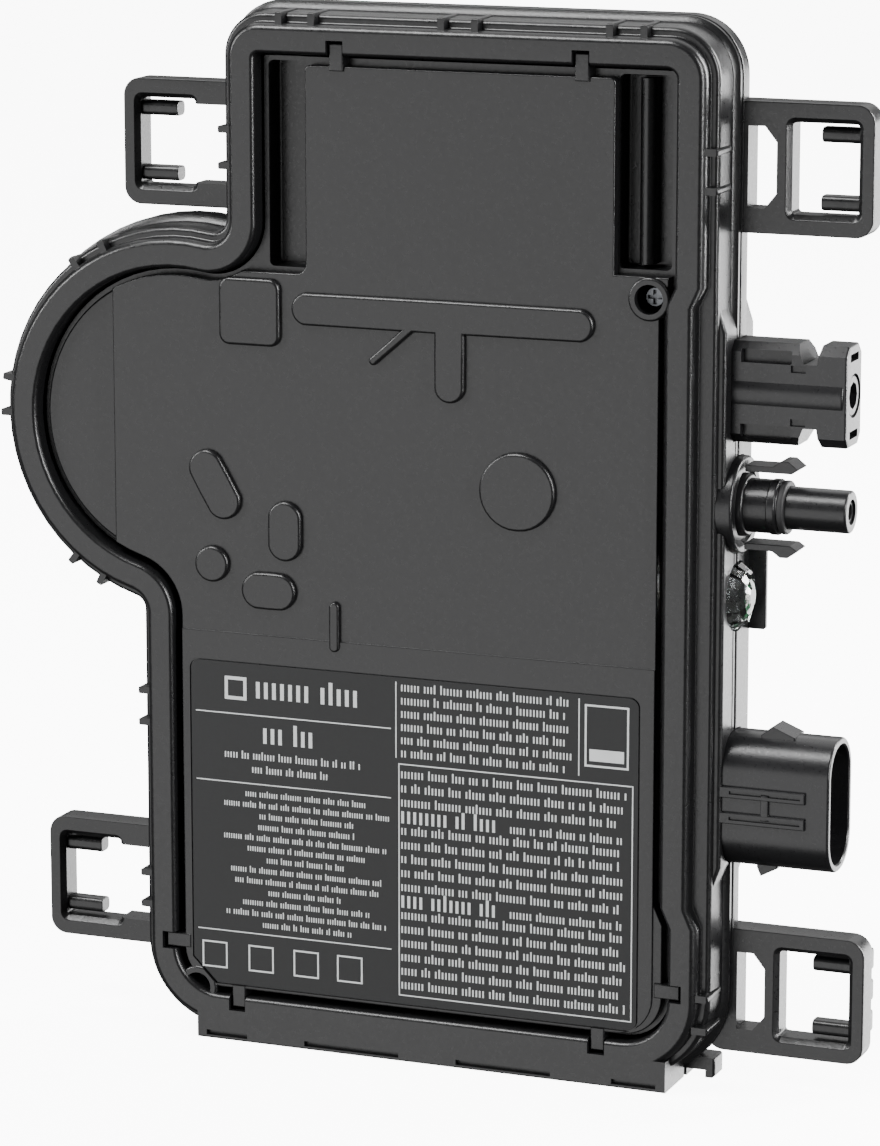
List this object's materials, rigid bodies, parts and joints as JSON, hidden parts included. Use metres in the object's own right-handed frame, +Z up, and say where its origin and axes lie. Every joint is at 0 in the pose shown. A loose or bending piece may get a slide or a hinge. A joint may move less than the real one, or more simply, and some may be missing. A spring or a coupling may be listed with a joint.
{
  "type": "micro inverter",
  "caption": "Flat sealed inverter housing with bracket loops, direct current connectors and an alternating current connector, which turns one solar panel's output into mains power.",
  "frame": {"origin": "middle of the bottom edge: the bottom centre of the whole part's box", "axes": "+Z up along the housing's height, +X towards the side with the connectors, +Y from the labelled front to the back of the tray"},
  "size_m": [0.1822, 0.0302, 0.212],
  "materials": {
    "housing_black": "moulded black housing with a fine spark-eroded texture",
    "connector_black": "moulded black connector body, slightly smoother than the housing",
    "label_film": null,
    "lens_clear": "clear moulded lens",
    "seal_rubber": "dark grey silicone",
    "contact_tin": "tin plated copper",
    "screw_steel": "zinc plated steel",
    "board_green": "green solder mask",
    "ferrite": "sintered dark grey ferrite",
    "copper_wire": "enamelled copper wire",
    "aluminium_can": "bare drawn aluminium",
    "film_case": "grey potted case",
    "component_case": "black moulded component case",
    "thermal_pad": "soft filled silicone pad",
    "potting_resin": "dark soft potting",
    "led_body": "white LED package"
  },
  "bodies": {
    "inverter": {"front_frame": "housing_black", "cover_plate": "housing_black", "rear_housing": "housing_black", "housing_seal": "seal_rubber", "name_label": "label_film", "upper_dc_body": "connector_black", "upper_dc_pin": "contact_tin", "lower_dc_body": "connector_black", "lower_dc_socket": "contact_tin", "lower_dc_ring": "seal_rubber", "ac_shroud": "connector_black", "ac_insert": "connector_black", "ac_pin_1": "contact_tin", "ac_pin_2": "contact_tin", "ac_pin_3": "contact_tin", "status_lens": "lens_clear", "cover_screw_upper": "screw_steel", "cover_screw_lower": "screw_steel", "circuit_board": "board_green", "board_screw_1": "screw_steel", "board_screw_2": "screw_steel", "board_screw_3": "screw_steel", "board_screw_4": "screw_steel", "transformer_core_base": "ferrite", "transformer_core_cap": "ferrite", "transformer_winding": "copper_wire", "inductor_core": "ferrite", "inductor_winding_1": "copper_wire", "inductor_winding_2": "copper_wire", "input_capacitor_1": "aluminium_can", "input_capacitor_2": "aluminium_can", "input_capacitor_3": "aluminium_can", "input_capacitor_4": "aluminium_can", "film_capacitor": "film_case", "relay_1": "component_case", "relay_2": "component_case", "control_chip": "component_case", "dc_mosfet_1": "component_case", "dc_mosfet_2": "component_case", "dc_mosfet_3": "component_case", "dc_mosfet_4": "component_case", "thermal_pad": "thermal_pad", "heat_spreader": "aluminium_can", "status_led": "led_body", "potting_layer": "potting_resin"},
    "upper_latch": {"latch_arm_upper": "connector_black"},
    "lower_latch": {"latch_arm_lower": "connector_black"}
  },
  "joints": [
    {"name": "upper_latch_flex", "type": "hinge", "parent": "inverter", "child": "upper_latch", "pos_m": [0.066, -0.0018, 0.125], "axis": [0, 1, 0], "range_deg": [0, 5], "stiffness_Nm_per_rad": 0.05},
    {"name": "lower_latch_flex", "type": "hinge", "parent": "inverter", "child": "lower_latch", "pos_m": [0.066, -0.0018, 0.1096], "axis": [0, -1, 0], "range_deg": [0, 5], "stiffness_Nm_per_rad": 0.05}
  ]
}
